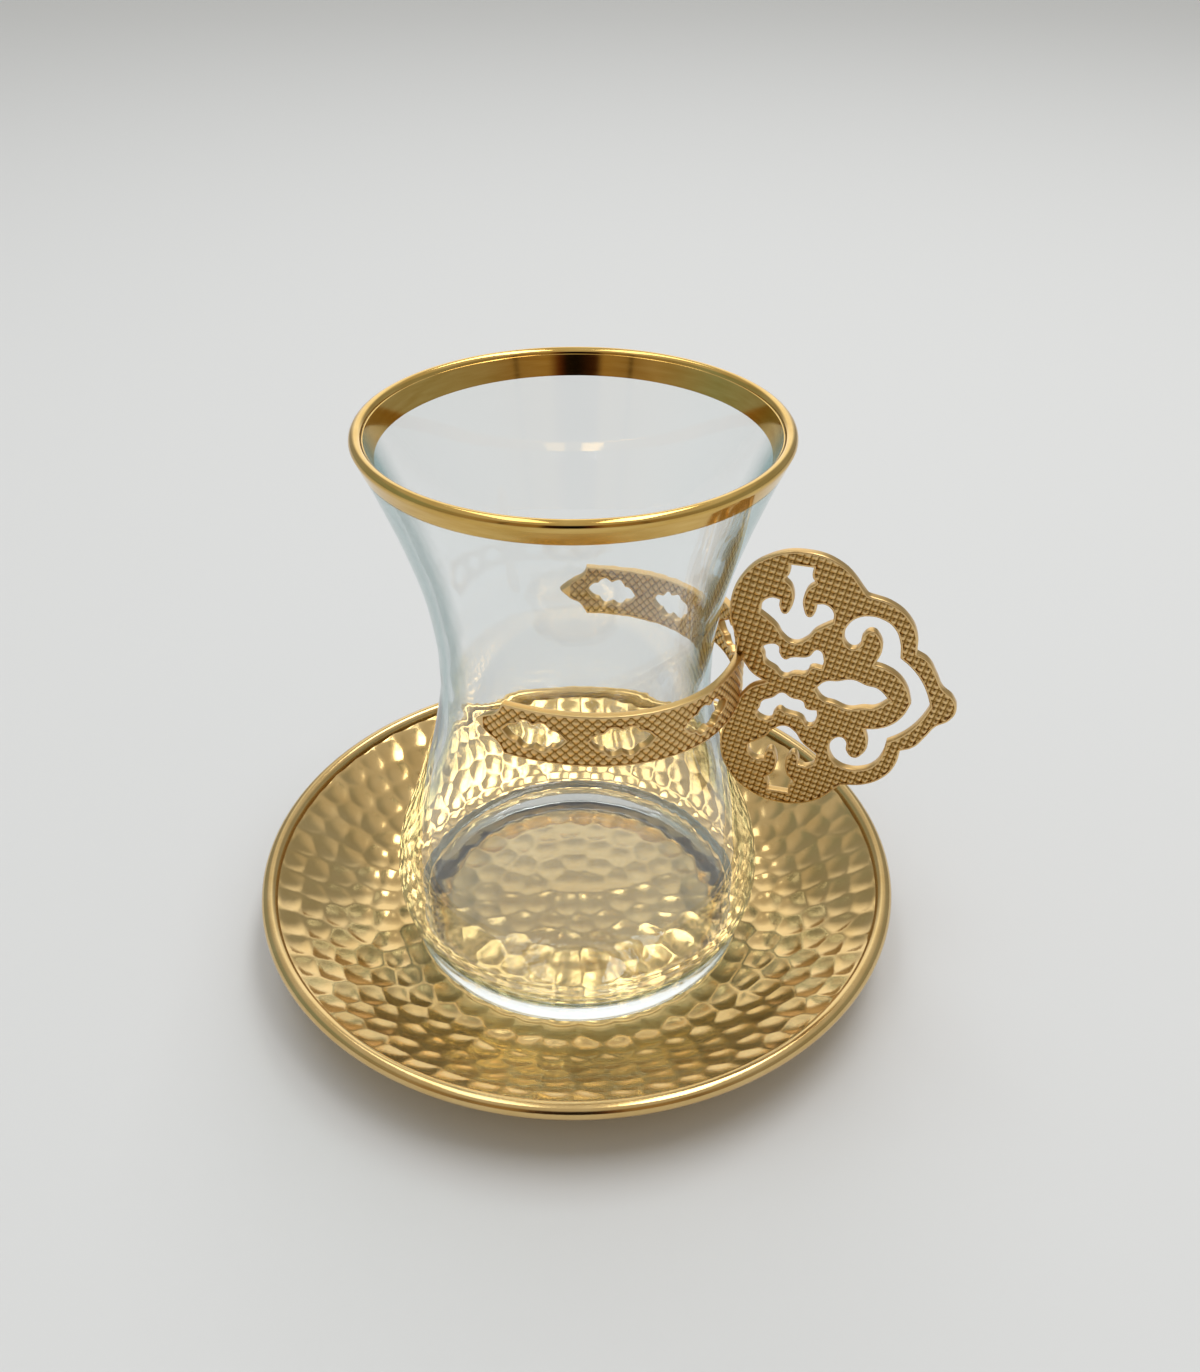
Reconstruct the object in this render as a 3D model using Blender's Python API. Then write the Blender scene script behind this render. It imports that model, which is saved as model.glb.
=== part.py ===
"""A tulip-shaped tea glass in a clip-on pierced holder, standing on its metal saucer.

Metres, +Z up. The origin is the middle of the saucer's underside, and the handle points along +X.
"""

from math import cos, pi, radians, sin

import bmesh
import bpy
from mathutils import Vector

MM = 0.001

# Saucer: spun sheet with a flat well and a rolled bead
SAUCER_RADIUS = 56.75 * MM
SAUCER_SHEET = 0.8 * MM
WELL_RADIUS = 33.0 * MM
BEAD_RADIUS = 1.4 * MM
BEAD_HEIGHT = 11.7 * MM
SAUCER_SIDES = 60

# Glass: its sizes are measured from its own foot
GLASS_HEIGHT = 95.3 * MM
RIM_RADIUS = 32.5 * MM
LIP_THICKNESS = 1.7 * MM
WALL_WAIST = 1.8 * MM
WALL_BULB = 2.3 * MM
FLOOR_THICKNESS = 6.0 * MM
FLOOR_CORNER = 8.0 * MM
FOOT_RADIUS = 29.3 * MM
FOOT_RING_INNER = 26.0 * MM
PUNT_RADIUS = 23.2 * MM
PUNT_DEPTH = 0.9 * MM
GLASS_SIDES = 48
REST_GAP = 0.3 * MM

# Holder: a cast band that grips the waist, with a pierced handle plate
HOLDER_HEIGHT = 55.5 * MM  # its middle, above the glass's foot
BAND_INNER = 22.8 * MM
BAND_THICKNESS = 1.2 * MM
BAND_HALF = 4.6 * MM
BAND_BULGE = 3.4 * MM  # how far the band stands off the waist at the handle
BAND_SHOULDER_DEGREES = 101
# The bracket-shaped tip: degrees past the shoulder, and what is left of the height
BAND_TIP = ((0.0, 1.0), (1.2, 0.76), (3.2, 0.55), (6.0, 0.42), (9.0, 0.25), (12.0, 0.06))
BAND_STEP_DEGREES = 4
PIERCING_DEGREES = (26, 58, 89)
PLATE_THICKNESS = 1.4 * MM

ROUND, CORNER = "AUTO", "VECTOR"
CURVE_STEPS = 3


def empty_scene():
    for thing in list(bpy.data.objects):
        bpy.data.objects.remove(thing, do_unlink=True)


def material(name, colour, roughness, metallic=0.0, transmission=0.0):
    made = bpy.data.materials.new(name)
    made.use_nodes = True
    shader = made.node_tree.nodes["Principled BSDF"]
    shader.inputs["Base Color"].default_value = (*colour, 1)
    shader.inputs["Roughness"].default_value = roughness
    shader.inputs["Metallic"].default_value = metallic
    shader.inputs["Transmission Weight"].default_value = transmission
    return made


def new_object(name, mesh, finish):
    thing = bpy.data.objects.new(name, mesh)
    bpy.context.scene.collection.objects.link(thing)
    thing.data.materials.clear()
    thing.data.materials.append(finish)
    return thing


def smooth_points(points, steps):
    """Points along a Catmull-Rom curve through the given (radius, height) pairs."""
    ends = [points[0], *points, points[-1]]
    run = []
    for i in range(1, len(ends) - 2):
        p0, p1, p2, p3 = (Vector(p) for p in ends[i - 1 : i + 3])
        for k in range(steps):
            t = k / steps
            run.append(
                0.5
                * (
                    2 * p1
                    + (p2 - p0) * t
                    + (2 * p0 - 5 * p1 + 4 * p2 - p3) * t**2
                    + (3 * p1 - p0 - 3 * p2 + p3) * t**3
                )
            )
    run.append(Vector(points[-1]))
    return run


def arc(centre, radius, start, end, steps):
    """Points on a circle of the profile plane, from start to end in degrees."""
    turns = [radians(start + (end - start) * k / steps) for k in range(steps + 1)]
    return [Vector(centre) + radius * Vector((cos(a), sin(a))) for a in turns]


def turned(name, profile, sides, finish):
    """A closed body: the profile spun about Z. It starts and ends on the axis, and runs down outside."""
    mesh = bpy.data.meshes.new(name)
    shape = bmesh.new()
    rings = []
    for radius, height in profile:
        if radius < 1e-7:
            rings.append([shape.verts.new((0, 0, height))])
        else:
            turns = [2 * pi * k / sides for k in range(sides)]
            rings.append(
                [shape.verts.new((radius * cos(a), radius * sin(a), height)) for a in turns]
            )
    for upper, lower in zip(rings, rings[1:]):
        for k in range(sides):
            after = (k + 1) % sides
            if len(upper) == 1:
                shape.faces.new((upper[0], lower[k], lower[after]))
            elif len(lower) == 1:
                shape.faces.new((upper[k], lower[0], upper[after]))
            else:
                shape.faces.new((upper[k], lower[k], lower[after], upper[after]))
    bmesh.ops.recalc_face_normals(shape, faces=shape.faces)
    shape.to_mesh(mesh)
    shape.free()
    mesh.shade_smooth()
    mesh.set_sharp_from_angle(angle=radians(35))
    return new_object(name, mesh, finish)


def saucer(finish):
    """The sheet rises from the flat well in a shallow sweep, and ends in a bead rolled over its edge."""
    bead = Vector((SAUCER_RADIUS - BEAD_RADIUS, BEAD_HEIGHT))
    join = bead + BEAD_RADIUS * Vector((cos(radians(200)), sin(radians(200))))
    sweep = [
        (WELL_RADIUS, SAUCER_SHEET),
        (37.0 * MM, 1.3 * MM),
        (41.5 * MM, 2.9 * MM),
        (46.0 * MM, 5.4 * MM),
        (50.5 * MM, 8.5 * MM),
        tuple(join),
    ]
    top = smooth_points(sweep, 2)
    under = []
    for before, here, after in zip(top, top[1:], top[2:]):
        along = (after - before).normalized()
        under.append(here + SAUCER_SHEET * Vector((along.y, -along.x)))
    profile = [Vector((0, SAUCER_SHEET)), *top]
    profile += arc(bead, BEAD_RADIUS, 160, -80, 8)
    profile += [p for p in reversed(under) if p.x < bead.x - BEAD_RADIUS]
    profile += [Vector((WELL_RADIUS, 0)), Vector((0, 0))]
    return turned("saucer", profile, SAUCER_SIDES, finish)


def glass_outside():
    """The outer line from the lip down to the heel, as (radius, height) above the foot."""
    return [
        (RIM_RADIUS, GLASS_HEIGHT - LIP_THICKNESS / 2),
        (29.9 * MM, 88.0 * MM),
        (26.5 * MM, 78.5 * MM),
        (23.85 * MM, 69.0 * MM),
        (22.5 * MM, 60.0 * MM),
        (22.3 * MM, 54.5 * MM),
        (22.45 * MM, 49.5 * MM),
        (23.9 * MM, 41.5 * MM),
        (26.2 * MM, 33.5 * MM),
        (28.9 * MM, 25.5 * MM),
        (31.6 * MM, 18.0 * MM),
        (32.5 * MM, 11.5 * MM),
        (31.7 * MM, 5.2 * MM),
        (30.5 * MM, 1.0 * MM),
        (FOOT_RADIUS, 0.0),
    ]


def wall_at(height):
    """The wall is thickest in the bulb and thins towards the lip."""
    levels = ((0, WALL_BULB), (0.5, WALL_WAIST), (1, LIP_THICKNESS))
    part = height / GLASS_HEIGHT
    (low, first), (high, second) = levels[:2] if part < levels[1][0] else levels[1:]
    return first + (second - first) * (part - low) / (high - low)


def glass(finish):
    """One blown-and-pressed body: an open bowl over a thick floor with a shallow punt beneath."""
    outside = smooth_points(glass_outside(), 2)
    inside = []
    for before, here, after in zip(outside, outside[1:], outside[2:]):
        along = (after - before).normalized()
        inside.append(here + wall_at(here.y) * Vector((along.y, -along.x)))
    floor = FLOOR_THICKNESS
    wall = [p for p in inside if p.y > floor + FLOOR_CORNER]
    corner_reach = wall[-1].x
    corner = (corner_reach - FLOOR_CORNER, floor + FLOOR_CORNER)
    lip = (RIM_RADIUS - LIP_THICKNESS / 2, GLASS_HEIGHT - LIP_THICKNESS / 2)
    profile = [Vector((0, floor))]
    profile += arc(corner, FLOOR_CORNER, -90, -10, 5)
    profile += list(reversed(wall))
    profile += arc(lip, LIP_THICKNESS / 2, 170, 10, 4)
    profile += outside
    profile += [
        Vector((FOOT_RING_INNER, 0)),
        Vector((PUNT_RADIUS, PUNT_DEPTH)),
        Vector((0, PUNT_DEPTH)),
    ]
    body = turned("glass", profile, GLASS_SIDES, finish)
    body.location.z = SAUCER_SHEET + REST_GAP
    return body


def mirrored(half):
    """The half above the middle line, and the same half below it. Points on the line come once."""
    below = [(u, -w, kind) for u, w, kind in reversed(half) if w > 1e-9]
    return [*half, *below]


def plate_outline():
    """The upper half of the plate, from the notch by the band round to the tip, in millimetres."""
    lobe, lobe_radius = (35.6, 12.9), 10.8
    second, second_radius = (45.9, 10.1), 7.5
    inside_band = 26.4  # each lobe runs into the band's upper or lower edge, and is one metal with it

    def on(centre, radius, degrees, kind=ROUND):
        a = radians(degrees)
        return (centre[0] + radius * cos(a), centre[1] + radius * sin(a), kind)

    return mirrored(
        [
            (31.4, 0.0, CORNER),
            (29.1, 1.3, ROUND),
            (27.9, 2.8, ROUND),
            (27.4, 3.6, CORNER),
            (inside_band, 3.6, CORNER),
            (inside_band, 7.2, CORNER),
            *(on(lobe, lobe_radius, a) for a in (200, 180, 150, 120, 90, 60)),
            on(lobe, lobe_radius, 27.5, CORNER),
            *(on(second, second_radius, a) for a in (65, 38, 15)),
            (53.5, 9.2, CORNER),
            (55.3, 8.2, ROUND),
            (57.0, 5.6, ROUND),
            (58.1, 3.6, ROUND),
            (59.9, 2.1, ROUND),
            (60.7, 0.0, ROUND),
        ]
    )


def scroll_slot():
    """The bracket-shaped slot that leaves the leaf and its two curled stems standing."""
    return mirrored(
        [
            (56.8, 0.0, CORNER),
            (55.9, 2.4, ROUND),
            (54.6, 4.7, ROUND),
            (52.9, 6.6, ROUND),
            (51.2, 7.9, CORNER),
            (50.8, 10.6, ROUND),
            (49.6, 13.0, ROUND),
            (47.9, 14.1, ROUND),
            (46.0, 14.4, ROUND),
            (44.1, 13.8, ROUND),
            (42.9, 12.4, ROUND),
            (42.5, 10.6, ROUND),
            (43.0, 9.0, ROUND),
            (44.1, 8.4, ROUND),
            (45.0, 9.2, ROUND),
            (45.2, 10.8, ROUND),
            (46.5, 12.0, ROUND),
            (47.8, 11.0, ROUND),
            (48.4, 9.0, ROUND),
            (47.6, 6.1, CORNER),
            (49.4, 5.7, ROUND),
            (51.4, 4.6, ROUND),
            (53.0, 2.6, ROUND),
            (53.9, 0.0, CORNER),
        ]
    )


def leaf_eye():
    """The pointed oval in the middle of the leaf."""
    return mirrored(
        [
            (39.2, 0.0, CORNER),
            (40.6, 1.7, ROUND),
            (42.4, 2.1, ROUND),
            (44.6, 2.75, ROUND),
            (46.9, 2.1, ROUND),
            (48.6, 1.8, ROUND),
            (50.6, 0.0, CORNER),
        ]
    )


def bud(side):
    """The opening like a bud on its stem, in the lobe above (side 1) or below (side -1)."""
    middle = 35.1
    half = [
        (0.0, 7.9, ROUND),
        (1.7, 8.8, ROUND),
        (2.9, 10.5, ROUND),
        (4.2, 11.6, ROUND),
        (5.5, 12.5, CORNER),
        (5.3, 14.3, ROUND),
        (4.1, 15.3, ROUND),
        (2.8, 15.2, CORNER),
        (2.7, 13.8, ROUND),
        (1.9, 12.8, ROUND),
        (1.05, 13.7, ROUND),
        (1.05, 17.4, ROUND),
        (2.3, 18.8, CORNER),
        (1.7, 19.8, ROUND),
        (1.7, 21.3, CORNER),
    ]
    right = [(middle + u, side * w, kind) for u, w, kind in half]
    left = [(2 * middle - u, w, kind) for u, w, kind in reversed(right[1:])]
    return [*right, *left]


def knot(side):
    """The small crooked opening between the bud and the middle line."""
    points = [
        (30.4, 6.2, ROUND),
        (31.2, 7.0, ROUND),
        (32.7, 7.0, ROUND),
        (33.1, 5.6, ROUND),
        (34.0, 4.7, ROUND),
        (35.0, 5.2, ROUND),
        (37.6, 5.8, ROUND),
        (38.9, 7.2, ROUND),
        (39.9, 5.6, ROUND),
        (39.8, 4.0, CORNER),
        (38.1, 3.9, ROUND),
        (37.5, 2.7, ROUND),
        (35.6, 2.3, ROUND),
        (34.1, 1.6, ROUND),
        (32.8, 2.7, ROUND),
        (31.1, 3.8, ROUND),
        (30.8, 5.0, ROUND),
    ]
    return [(u, side * w, kind) for u, w, kind in points]


def band_piercing():
    """The four-lobed eye that is pierced through the band."""
    quarter = [
        (4.8, 0.0, CORNER),
        (3.5, 1.3, ROUND),
        (2.65, 1.45, CORNER),
        (1.45, 2.5, ROUND),
        (0.0, 1.95, CORNER),
    ]
    upper = [*quarter, *((-u, w, kind) for u, w, kind in reversed(quarter[:-1]))]
    return mirrored(upper)


def flat_body(name, outlines, half_depth):
    """The first outline less the others, drawn in millimetres and given an even depth along its Z."""
    curve = bpy.data.curves.new(name, "CURVE")
    curve.dimensions = "2D"
    curve.fill_mode = "BOTH"
    curve.resolution_u = CURVE_STEPS
    curve.extrude = half_depth
    for outline in outlines:
        spline = curve.splines.new("BEZIER")
        spline.bezier_points.add(len(outline) - 1)
        for point, (u, w, kind) in zip(spline.bezier_points, outline):
            point.co = (u * MM, w * MM, 0)
            point.handle_left_type = point.handle_right_type = kind
        spline.use_cyclic_u = True
    drawn = bpy.data.objects.new(name, curve)
    bpy.context.scene.collection.objects.link(drawn)
    bpy.context.view_layer.update()
    graph = bpy.context.evaluated_depsgraph_get()
    mesh = bpy.data.meshes.new_from_object(drawn.evaluated_get(graph))
    bpy.data.objects.remove(drawn, do_unlink=True)
    shape = bmesh.new()
    shape.from_mesh(mesh)
    bmesh.ops.remove_doubles(shape, verts=shape.verts, dist=1e-7)
    bmesh.ops.recalc_face_normals(shape, faces=shape.faces)
    shape.to_mesh(mesh)
    shape.free()
    return mesh


def band_reach(degrees):
    """The band's inner radius: it hugs the waist at its tips and bows out towards the handle."""
    t = min(max((abs(degrees) - 20) / 75, 0), 1)
    return BAND_INNER + BAND_BULGE * (1 - t * t * (3 - 2 * t))


def band(finish):
    """An open ring of flat section, built station by station."""
    mesh = bpy.data.meshes.new("holder")
    shape = bmesh.new()
    whole = int(BAND_SHOULDER_DEGREES / BAND_STEP_DEGREES)
    even = [(k * BAND_STEP_DEGREES, 1.0) for k in range(-whole, whole + 1)]
    taper = [(BAND_SHOULDER_DEGREES + past, share) for past, share in BAND_TIP]
    stations = [(-degrees, share) for degrees, share in reversed(taper)] + even + taper
    rings = []
    for degrees, share in stations:
        a, half = radians(degrees), BAND_HALF * share
        near, far = band_reach(degrees), band_reach(degrees) + BAND_THICKNESS
        corners = ((near, -half), (far, -half), (far, half), (near, half))
        rings.append([shape.verts.new((r * cos(a), r * sin(a), z)) for r, z in corners])
    for one, other in zip(rings, rings[1:]):
        for k in range(4):
            shape.faces.new((one[k], one[k - 1], other[k - 1], other[k]))
    shape.faces.new(rings[0])
    shape.faces.new(rings[-1])
    bmesh.ops.recalc_face_normals(shape, faces=shape.faces)
    shape.to_mesh(mesh)
    shape.free()
    return new_object("holder", mesh, finish)


def helper(name, mesh, finish):
    tool = new_object(name, mesh, finish)
    tool.hide_render = True
    tool.display_type = "WIRE"
    return tool


def boolean(body, tool, operation):
    change = body.modifiers.new(tool.name, "BOOLEAN")
    change.operation = operation
    change.object = tool
    change.solver = "EXACT"


def holder(finish):
    """Band and handle plate are one casting, so they are joined into one body."""
    body = band(finish)
    for side in (1, -1):
        for degrees in PIERCING_DEGREES:
            mesh = flat_body("piercing", [band_piercing()], 4 * MM)
            cutter = helper(f"piercing_{side * degrees}", mesh, finish)
            a = radians(side * degrees)
            middle = band_reach(degrees) + BAND_THICKNESS / 2
            cutter.location = (middle * cos(a), middle * sin(a), 0)
            cutter.rotation_euler = (pi / 2, 0, a + pi / 2)
            boolean(body, cutter, "DIFFERENCE")
    outlines = [plate_outline(), scroll_slot(), leaf_eye()]
    outlines += [opening(side) for opening in (bud, knot) for side in (1, -1)]
    plate = helper("plate", flat_body("plate", outlines, PLATE_THICKNESS / 2), finish)
    plate.rotation_euler = (pi / 2, 0, 0)
    boolean(body, plate, "UNION")
    place = bpy.data.objects.new("holder_place", None)
    bpy.context.scene.collection.objects.link(place)
    place.location.z = SAUCER_SHEET + REST_GAP + HOLDER_HEIGHT
    for thing in [body, *(o for o in bpy.data.objects if o.hide_render)]:
        thing.parent = place
    return body


empty_scene()
brass = material("hammered_brass", (0.62, 0.46, 0.20), 0.25, metallic=1.0)
gilt = material("gilt_casting", (0.66, 0.48, 0.20), 0.35, metallic=1.0)
clear = material("clear_glass", (0.95, 0.98, 0.97), 0.02, transmission=1.0)
saucer(brass)
glass(clear)
holder(gilt)
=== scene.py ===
"""A tulip tea glass in its clip-on holder, standing on a hammered saucer, dressed piece by piece."""

import random
from math import atan2, cos, hypot, pi, radians, sin, tau

import bmesh
import bpy
import numpy as np
from mathutils import Matrix, Vector, geometry


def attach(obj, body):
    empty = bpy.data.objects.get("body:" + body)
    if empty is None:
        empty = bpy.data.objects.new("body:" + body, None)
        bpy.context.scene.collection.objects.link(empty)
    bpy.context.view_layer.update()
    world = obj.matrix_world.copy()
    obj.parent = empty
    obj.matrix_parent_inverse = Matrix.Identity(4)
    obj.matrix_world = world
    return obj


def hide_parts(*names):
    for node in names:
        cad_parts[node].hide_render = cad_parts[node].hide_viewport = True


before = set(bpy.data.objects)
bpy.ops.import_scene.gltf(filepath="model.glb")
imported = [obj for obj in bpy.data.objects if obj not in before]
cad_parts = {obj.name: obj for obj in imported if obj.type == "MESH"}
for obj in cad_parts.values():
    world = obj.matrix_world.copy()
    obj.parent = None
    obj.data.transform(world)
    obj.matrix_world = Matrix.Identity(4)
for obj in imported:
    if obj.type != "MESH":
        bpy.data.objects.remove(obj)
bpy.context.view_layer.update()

# The saucer is a disc of steel sheet, pressed to a shallow dish and plated pale gold. It was
# struck all over with a round-faced hammer, in rings, so that each blow leaves a shallow cup
# with a worn ridge to its neighbours. Its edge is rolled over to a bead.
MM = 0.001
SHEET = 0.8 * MM
STRUCK_SHEET = 0.975 * SHEET
SAUCER_EDGE = 56.75 * MM
ROLL_RADIUS = 1.4 * MM
ROLL_HEIGHT = 11.7 * MM
ROLL_DEGREES = range(196, -101, -18)
FLAT_WIDTH = 4 * MM
WELL_RADIUS = 33.0 * MM
WELL_FADE = (WELL_RADIUS - 2 * MM, WELL_RADIUS + 6 * MM)
WELL_STRENGTH = 0.8
HAMMERED_TO = 54.0 * MM
BORDER_NEAR = 0.01 * MM
WELD = 0.02 * MM
DISH_STEPS = 12
BLOW_SEED = 5
BLOW_ALONG = 5.3 * MM
BLOW_ACROSS = 4.6 * MM
STRAY_TURN = 0.17
STRAY_MM = 0.55
HAMMER_FACE = 12.0 * MM
RIDGE_CUTS = 3
CUP_RINGS = (0.9, 0.75, 0.52, 0.26)
RIDGE_WEAR = 3


def smooth_line(points, steps):
    """Points along a Catmull-Rom curve through the given (radius, height) pairs."""
    ends = [points[0], *points, points[-1]]
    line = []
    for i in range(1, len(ends) - 2):
        p0, p1, p2, p3 = (np.array(p) for p in ends[i - 1 : i + 3])
        for k in range(steps):
            t = k / steps
            bend = (2 * p0 - 5 * p1 + 4 * p2 - p3) * t**2 + (3 * p1 - p0 - 3 * p2 + p3) * t**3
            line.append(0.5 * (2 * p1 + (p2 - p0) * t + bend))
    line.append(np.array(points[-1]))
    return line


def in_mm(*pairs):
    """Pairs in millimetres as pairs in metres."""
    return [(u * MM, w * MM) for u, w in pairs]


dish = [(0.0, SHEET), (WELL_RADIUS - FLAT_WIDTH, SHEET)]
dish += in_mm((33.0, 0.8), (37.0, 1.4), (41.5, 3.3), (46.0, 6.0), (50.5, 8.9), (54.0, 11.1))
dish_line = np.array([dish[0], *smooth_line(dish[1:], DISH_STEPS)])
dish_run = np.concatenate([[0], np.cumsum(np.hypot(*np.diff(dish_line, axis=0).T))])
dish_slope = np.gradient(dish_line[:, 1], dish_line[:, 0])


def on_dish(x, y, lift):
    """The place above a point of the plan, lifted off the dish along its normal."""
    reach = hypot(x, y)
    height = np.interp(reach, dish_line[:, 0], dish_line[:, 1])
    slope = np.interp(reach, dish_line[:, 0], dish_slope)
    steep = hypot(1, slope)
    inward = 1 - lift * slope / steep / reach if reach > 1 * MM else 1
    return (x * inward, y * inward, height + lift / steep)


def hammer_blows(dice):
    """The blows in plan, ring by ring from the edge in, and the outer ring's mirror images."""
    blows, images = [], []
    run = dish_run[-1] - BLOW_ACROSS / 2
    while run > 0:
        reach = np.interp(run, dish_run, dish_line[:, 0])
        count = max(round(tau * reach / BLOW_ALONG), 1)
        start = dice.random()
        for k in range(count):
            turn = tau * (k + start + dice.uniform(-STRAY_TURN, STRAY_TURN)) / count
            near = reach + (dice.uniform(-STRAY_MM, STRAY_MM) * MM if images else 0)
            blows.append(Vector((near * cos(turn), near * sin(turn))))
        if not images:
            images = [blow * (2 * HAMMERED_TO / blow.length - 1) for blow in blows]
        run -= BLOW_ACROSS
    return blows, images


def circumcentre(a, b, c):
    """The point as far from each of three blows, where their three cups meet."""
    ab, ac = b - a, c - a
    twice = 2 * ab.cross(ac)
    x = (ac.y * ab.length_squared - ab.y * ac.length_squared) / twice
    y = (ab.x * ac.length_squared - ac.x * ab.length_squared) / twice
    return a + Vector((x, y))


def hammered_sheet(name):
    """The upper face: one shallow cup for each blow, and a ridge where two cups meet."""
    blows, images = hammer_blows(random.Random(BLOW_SEED))
    spots = [spot / MM for spot in blows + images]
    points, _, triangles, *_ = geometry.delaunay_2d_cdt(spots, [], [], 0, 1e-6)
    corners = [circumcentre(*(points[i] for i in three)) * MM for three in triangles]
    middles = [sum((points[i] for i in three), Vector((0, 0))) * MM / 3 for three in triangles]
    around = [[] for _ in points]
    for index, three in enumerate(triangles):
        for i in three:
            around[i].append(index)
    places, faces, made = [], [], {}

    def ridge_point(key, plan, blow):
        if key not in made:
            place = cup_point(plan, blow)
            on_border = plan.length > HAMMERED_TO - BORDER_NEAR / 10
            places.append((*plan, place[2]) if on_border else place)
            made[key] = len(places) - 1
        return made[key]

    def cup_point(plan, blow):
        strength = np.interp(plan.length, WELL_FADE, (WELL_STRENGTH, 1))
        return on_dish(*plan, (plan - blow).length_squared / (2 * HAMMER_FACE) * strength)

    for i, blow in enumerate(blows):
        cell = sorted(around[i], key=lambda c: atan2(*(middles[c] - blow).yx))
        border, plans = [], []
        for one, other in zip(cell, cell[1:] + cell[:1]):
            for k in range(RIDGE_CUTS):
                low, high = sorted((one, other))
                step = k if one == low else RIDGE_CUTS - k
                key = (one,) if k == 0 else (low, high, step)
                plan = corners[low].lerp(corners[high], step / RIDGE_CUTS)
                touching = set(triangles[one])
                if k > 0:
                    touching &= set(triangles[other])
                if max(touching) >= len(blows):
                    plan = plan.normalized() * HAMMERED_TO
                border.append(ridge_point(key, plan, blow))
                plans.append(plan)
        for part in CUP_RINGS:
            inner = []
            for plan in plans:
                inner.append(len(places))
                places.append(cup_point(blow.lerp(plan, part), blow))
            for k in range(len(border)):
                after = (k + 1) % len(border)
                faces.append((border[k], border[after], inner[after], inner[k]))
            border = inner
        places.append(cup_point(blow, blow))
        for k in range(len(border)):
            faces.append((border[k], border[(k + 1) % len(border)], len(places) - 1))
    mesh = bpy.data.meshes.new(name)
    mesh.from_pydata(places, [], faces)
    sheet = bpy.data.objects.new(name, mesh)
    bpy.context.collection.objects.link(sheet)
    return sheet


def edit(piece):
    """Opens one piece in edit mode with nothing else selected."""
    bpy.ops.object.select_all(action="DESELECT")
    piece.select_set(True)
    bpy.context.view_layer.objects.active = piece
    bpy.ops.object.mode_set(mode="EDIT")


def select_edges(piece, wanted):
    """Selects the edges for which wanted(edge) is true, and nothing else."""
    bpy.ops.mesh.select_mode(type="EDGE")
    bpy.ops.mesh.select_all(action="DESELECT")
    shape = bmesh.from_edit_mesh(piece.data)
    for edge in shape.edges:
        edge.select_set(wanted(edge))
    bmesh.update_edit_mesh(piece.data)


def edge_reach(edge):
    """How far the outer end of an edge stands from the upright axis."""
    return max(hypot(vertex.co.x, vertex.co.y) for vertex in edge.verts)


saucer = hammered_sheet("hammered_saucer")
edit(saucer)
bpy.ops.mesh.select_all(action="SELECT")
bpy.ops.mesh.remove_doubles(threshold=WELD)
bpy.ops.mesh.dissolve_degenerate(threshold=WELD)
select_edges(saucer, lambda e: not e.is_boundary and edge_reach(e) < HAMMERED_TO - BORDER_NEAR)
bpy.ops.mesh.vertices_smooth(factor=0.5, repeat=RIDGE_WEAR)
bpy.ops.mesh.select_all(action="SELECT")
bpy.ops.mesh.duplicate()
bpy.ops.transform.shrink_fatten(value=-STRUCK_SHEET)
bpy.ops.mesh.flip_normals()
select_edges(saucer, lambda e: e.is_boundary and edge_reach(e) < HAMMERED_TO + 5 * BORDER_NEAR)
roll_centre = SAUCER_EDGE - ROLL_RADIUS
ring_reach = HAMMERED_TO
for degrees in ROLL_DEGREES:
    turn = radians(degrees)
    new_reach = roll_centre + ROLL_RADIUS * cos(turn)
    new_height = ROLL_HEIGHT + ROLL_RADIUS * sin(turn)
    bpy.ops.mesh.extrude_region_move()
    grow = new_reach / ring_reach
    bpy.ops.transform.resize(value=(grow, grow, 0), center_override=(0, 0, new_height))
    ring_reach = new_reach
select_edges(saucer, lambda e: e.is_boundary)
bpy.ops.mesh.bridge_edge_loops()
bpy.ops.mesh.select_all(action="SELECT")
bpy.ops.mesh.normals_make_consistent(inside=False)
bpy.ops.object.mode_set(mode="OBJECT")
bpy.ops.object.shade_smooth_by_angle(angle=radians(50))


def linear(code):
    """An sRGB hex colour as the linear red, green, blue and alpha that a shader takes."""
    parts = [int(code[i : i + 2], 16) / 255 for i in (1, 3, 5)]
    return (*(c / 12.92 if c <= 0.04045 else ((c + 0.055) / 1.055) ** 2.4 for c in parts), 1)


def add_node(tree, kind, settings=(), links=(), stops=()):
    """Adds a node, sets its options, its sockets' values and its colour stops, and links it."""
    made = tree.nodes.new(kind)
    for index, (place, code) in enumerate(stops):
        ramp = made.color_ramp.elements
        stop = ramp[index] if index < 2 else ramp.new(place)
        stop.position = place
        stop.color = linear(code)
    for name, value in dict(settings).items():
        if isinstance(name, str) and hasattr(made, name):
            setattr(made, name, value)
        else:
            made.inputs[name].default_value = value
    for name, source in dict(links).items():
        tree.links.new(source, made.inputs[name])
    return made


def new_material(name):
    """A material with its Principled shader, ready for more nodes."""
    made = bpy.data.materials.new(name)
    made.use_nodes = True
    return made, made.node_tree, made.node_tree.nodes["Principled BSDF"]


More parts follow.
